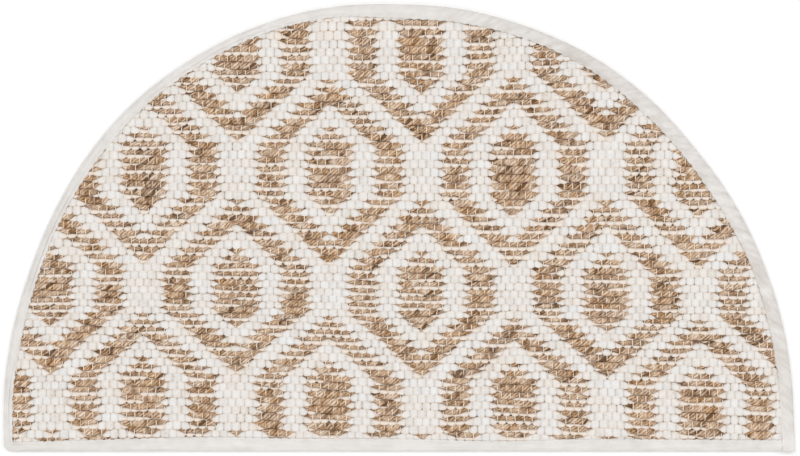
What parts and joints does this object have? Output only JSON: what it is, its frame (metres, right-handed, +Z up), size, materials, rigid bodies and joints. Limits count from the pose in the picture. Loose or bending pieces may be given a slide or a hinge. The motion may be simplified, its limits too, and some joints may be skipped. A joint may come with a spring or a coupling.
{
  "type": "half-moon woven rug",
  "caption": "Flat half-moon rug of thick cotton and jute weft rows, bound all round with a folded cotton tape.",
  "frame": {"origin": "on the floor, under the middle of the rug's outer box", "axes": "+X to the right along the straight edge, +Y from the straight edge to the crown, +Z up out of the pile side"},
  "size_m": [0.8, 0.4541, 0.008],
  "materials": {
    "cotton_and_jute_weave": "thick weft rows, off-white cotton strips and natural jute yarn in a trellis of ovals",
    "cotton_tape": "matt off-white cotton tape, folded over the edge and sewn"
  },
  "bodies": {
    "root": {"woven_field": "cotton_and_jute_weave", "edge_tape": "cotton_tape"}
  },
  "joints": []
}
